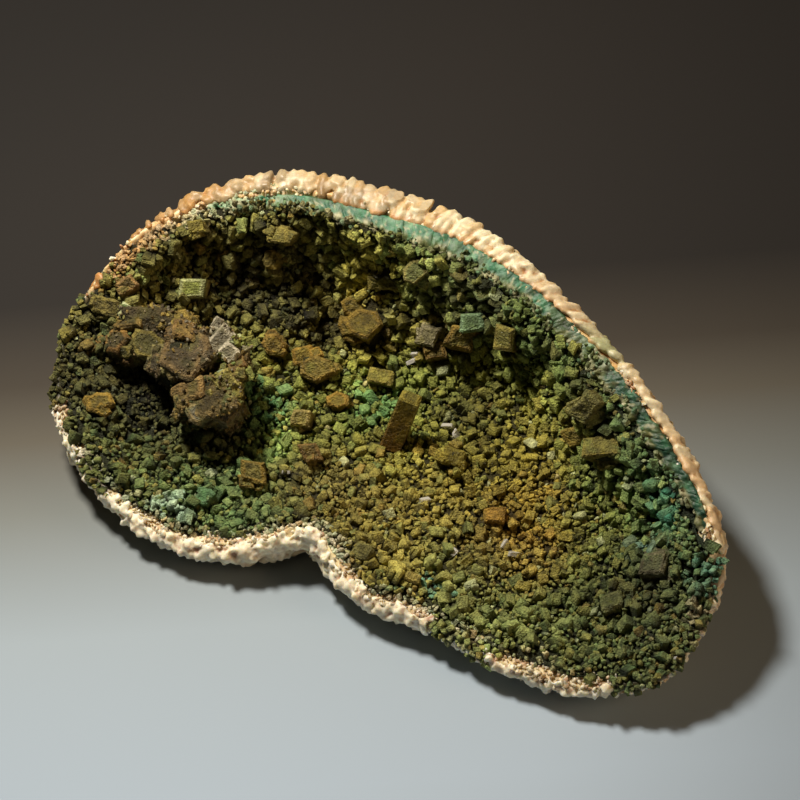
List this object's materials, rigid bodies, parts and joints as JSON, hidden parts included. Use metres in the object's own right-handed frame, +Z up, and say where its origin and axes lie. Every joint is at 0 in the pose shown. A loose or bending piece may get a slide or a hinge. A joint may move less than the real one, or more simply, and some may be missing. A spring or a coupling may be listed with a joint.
{
  "type": "heulandite specimen",
  "caption": "Half of a kidney-shaped geode: a knobbly cream rind lined with a green and brown crust of blocky crystals, lying on its rounded outside with its mouth tilted forward.",
  "frame": {"origin": "on the surface it rests on, under the middle of its box", "axes": "+X along the mouth's length, towards the narrower end; +Y towards the high back wall; +Z up"},
  "size_m": [0.3002, 0.1668, 0.082],
  "materials": {
    "chalcedony": "waxy cream to peach chalcedony with rust-stained hollows",
    "heulandite": "dusty, finely granular olive, teal and ochre heulandite crystals"
  },
  "bodies": {
    "root": {"chalcedony_rind": "chalcedony", "heulandite_crust": "heulandite"}
  },
  "joints": []
}
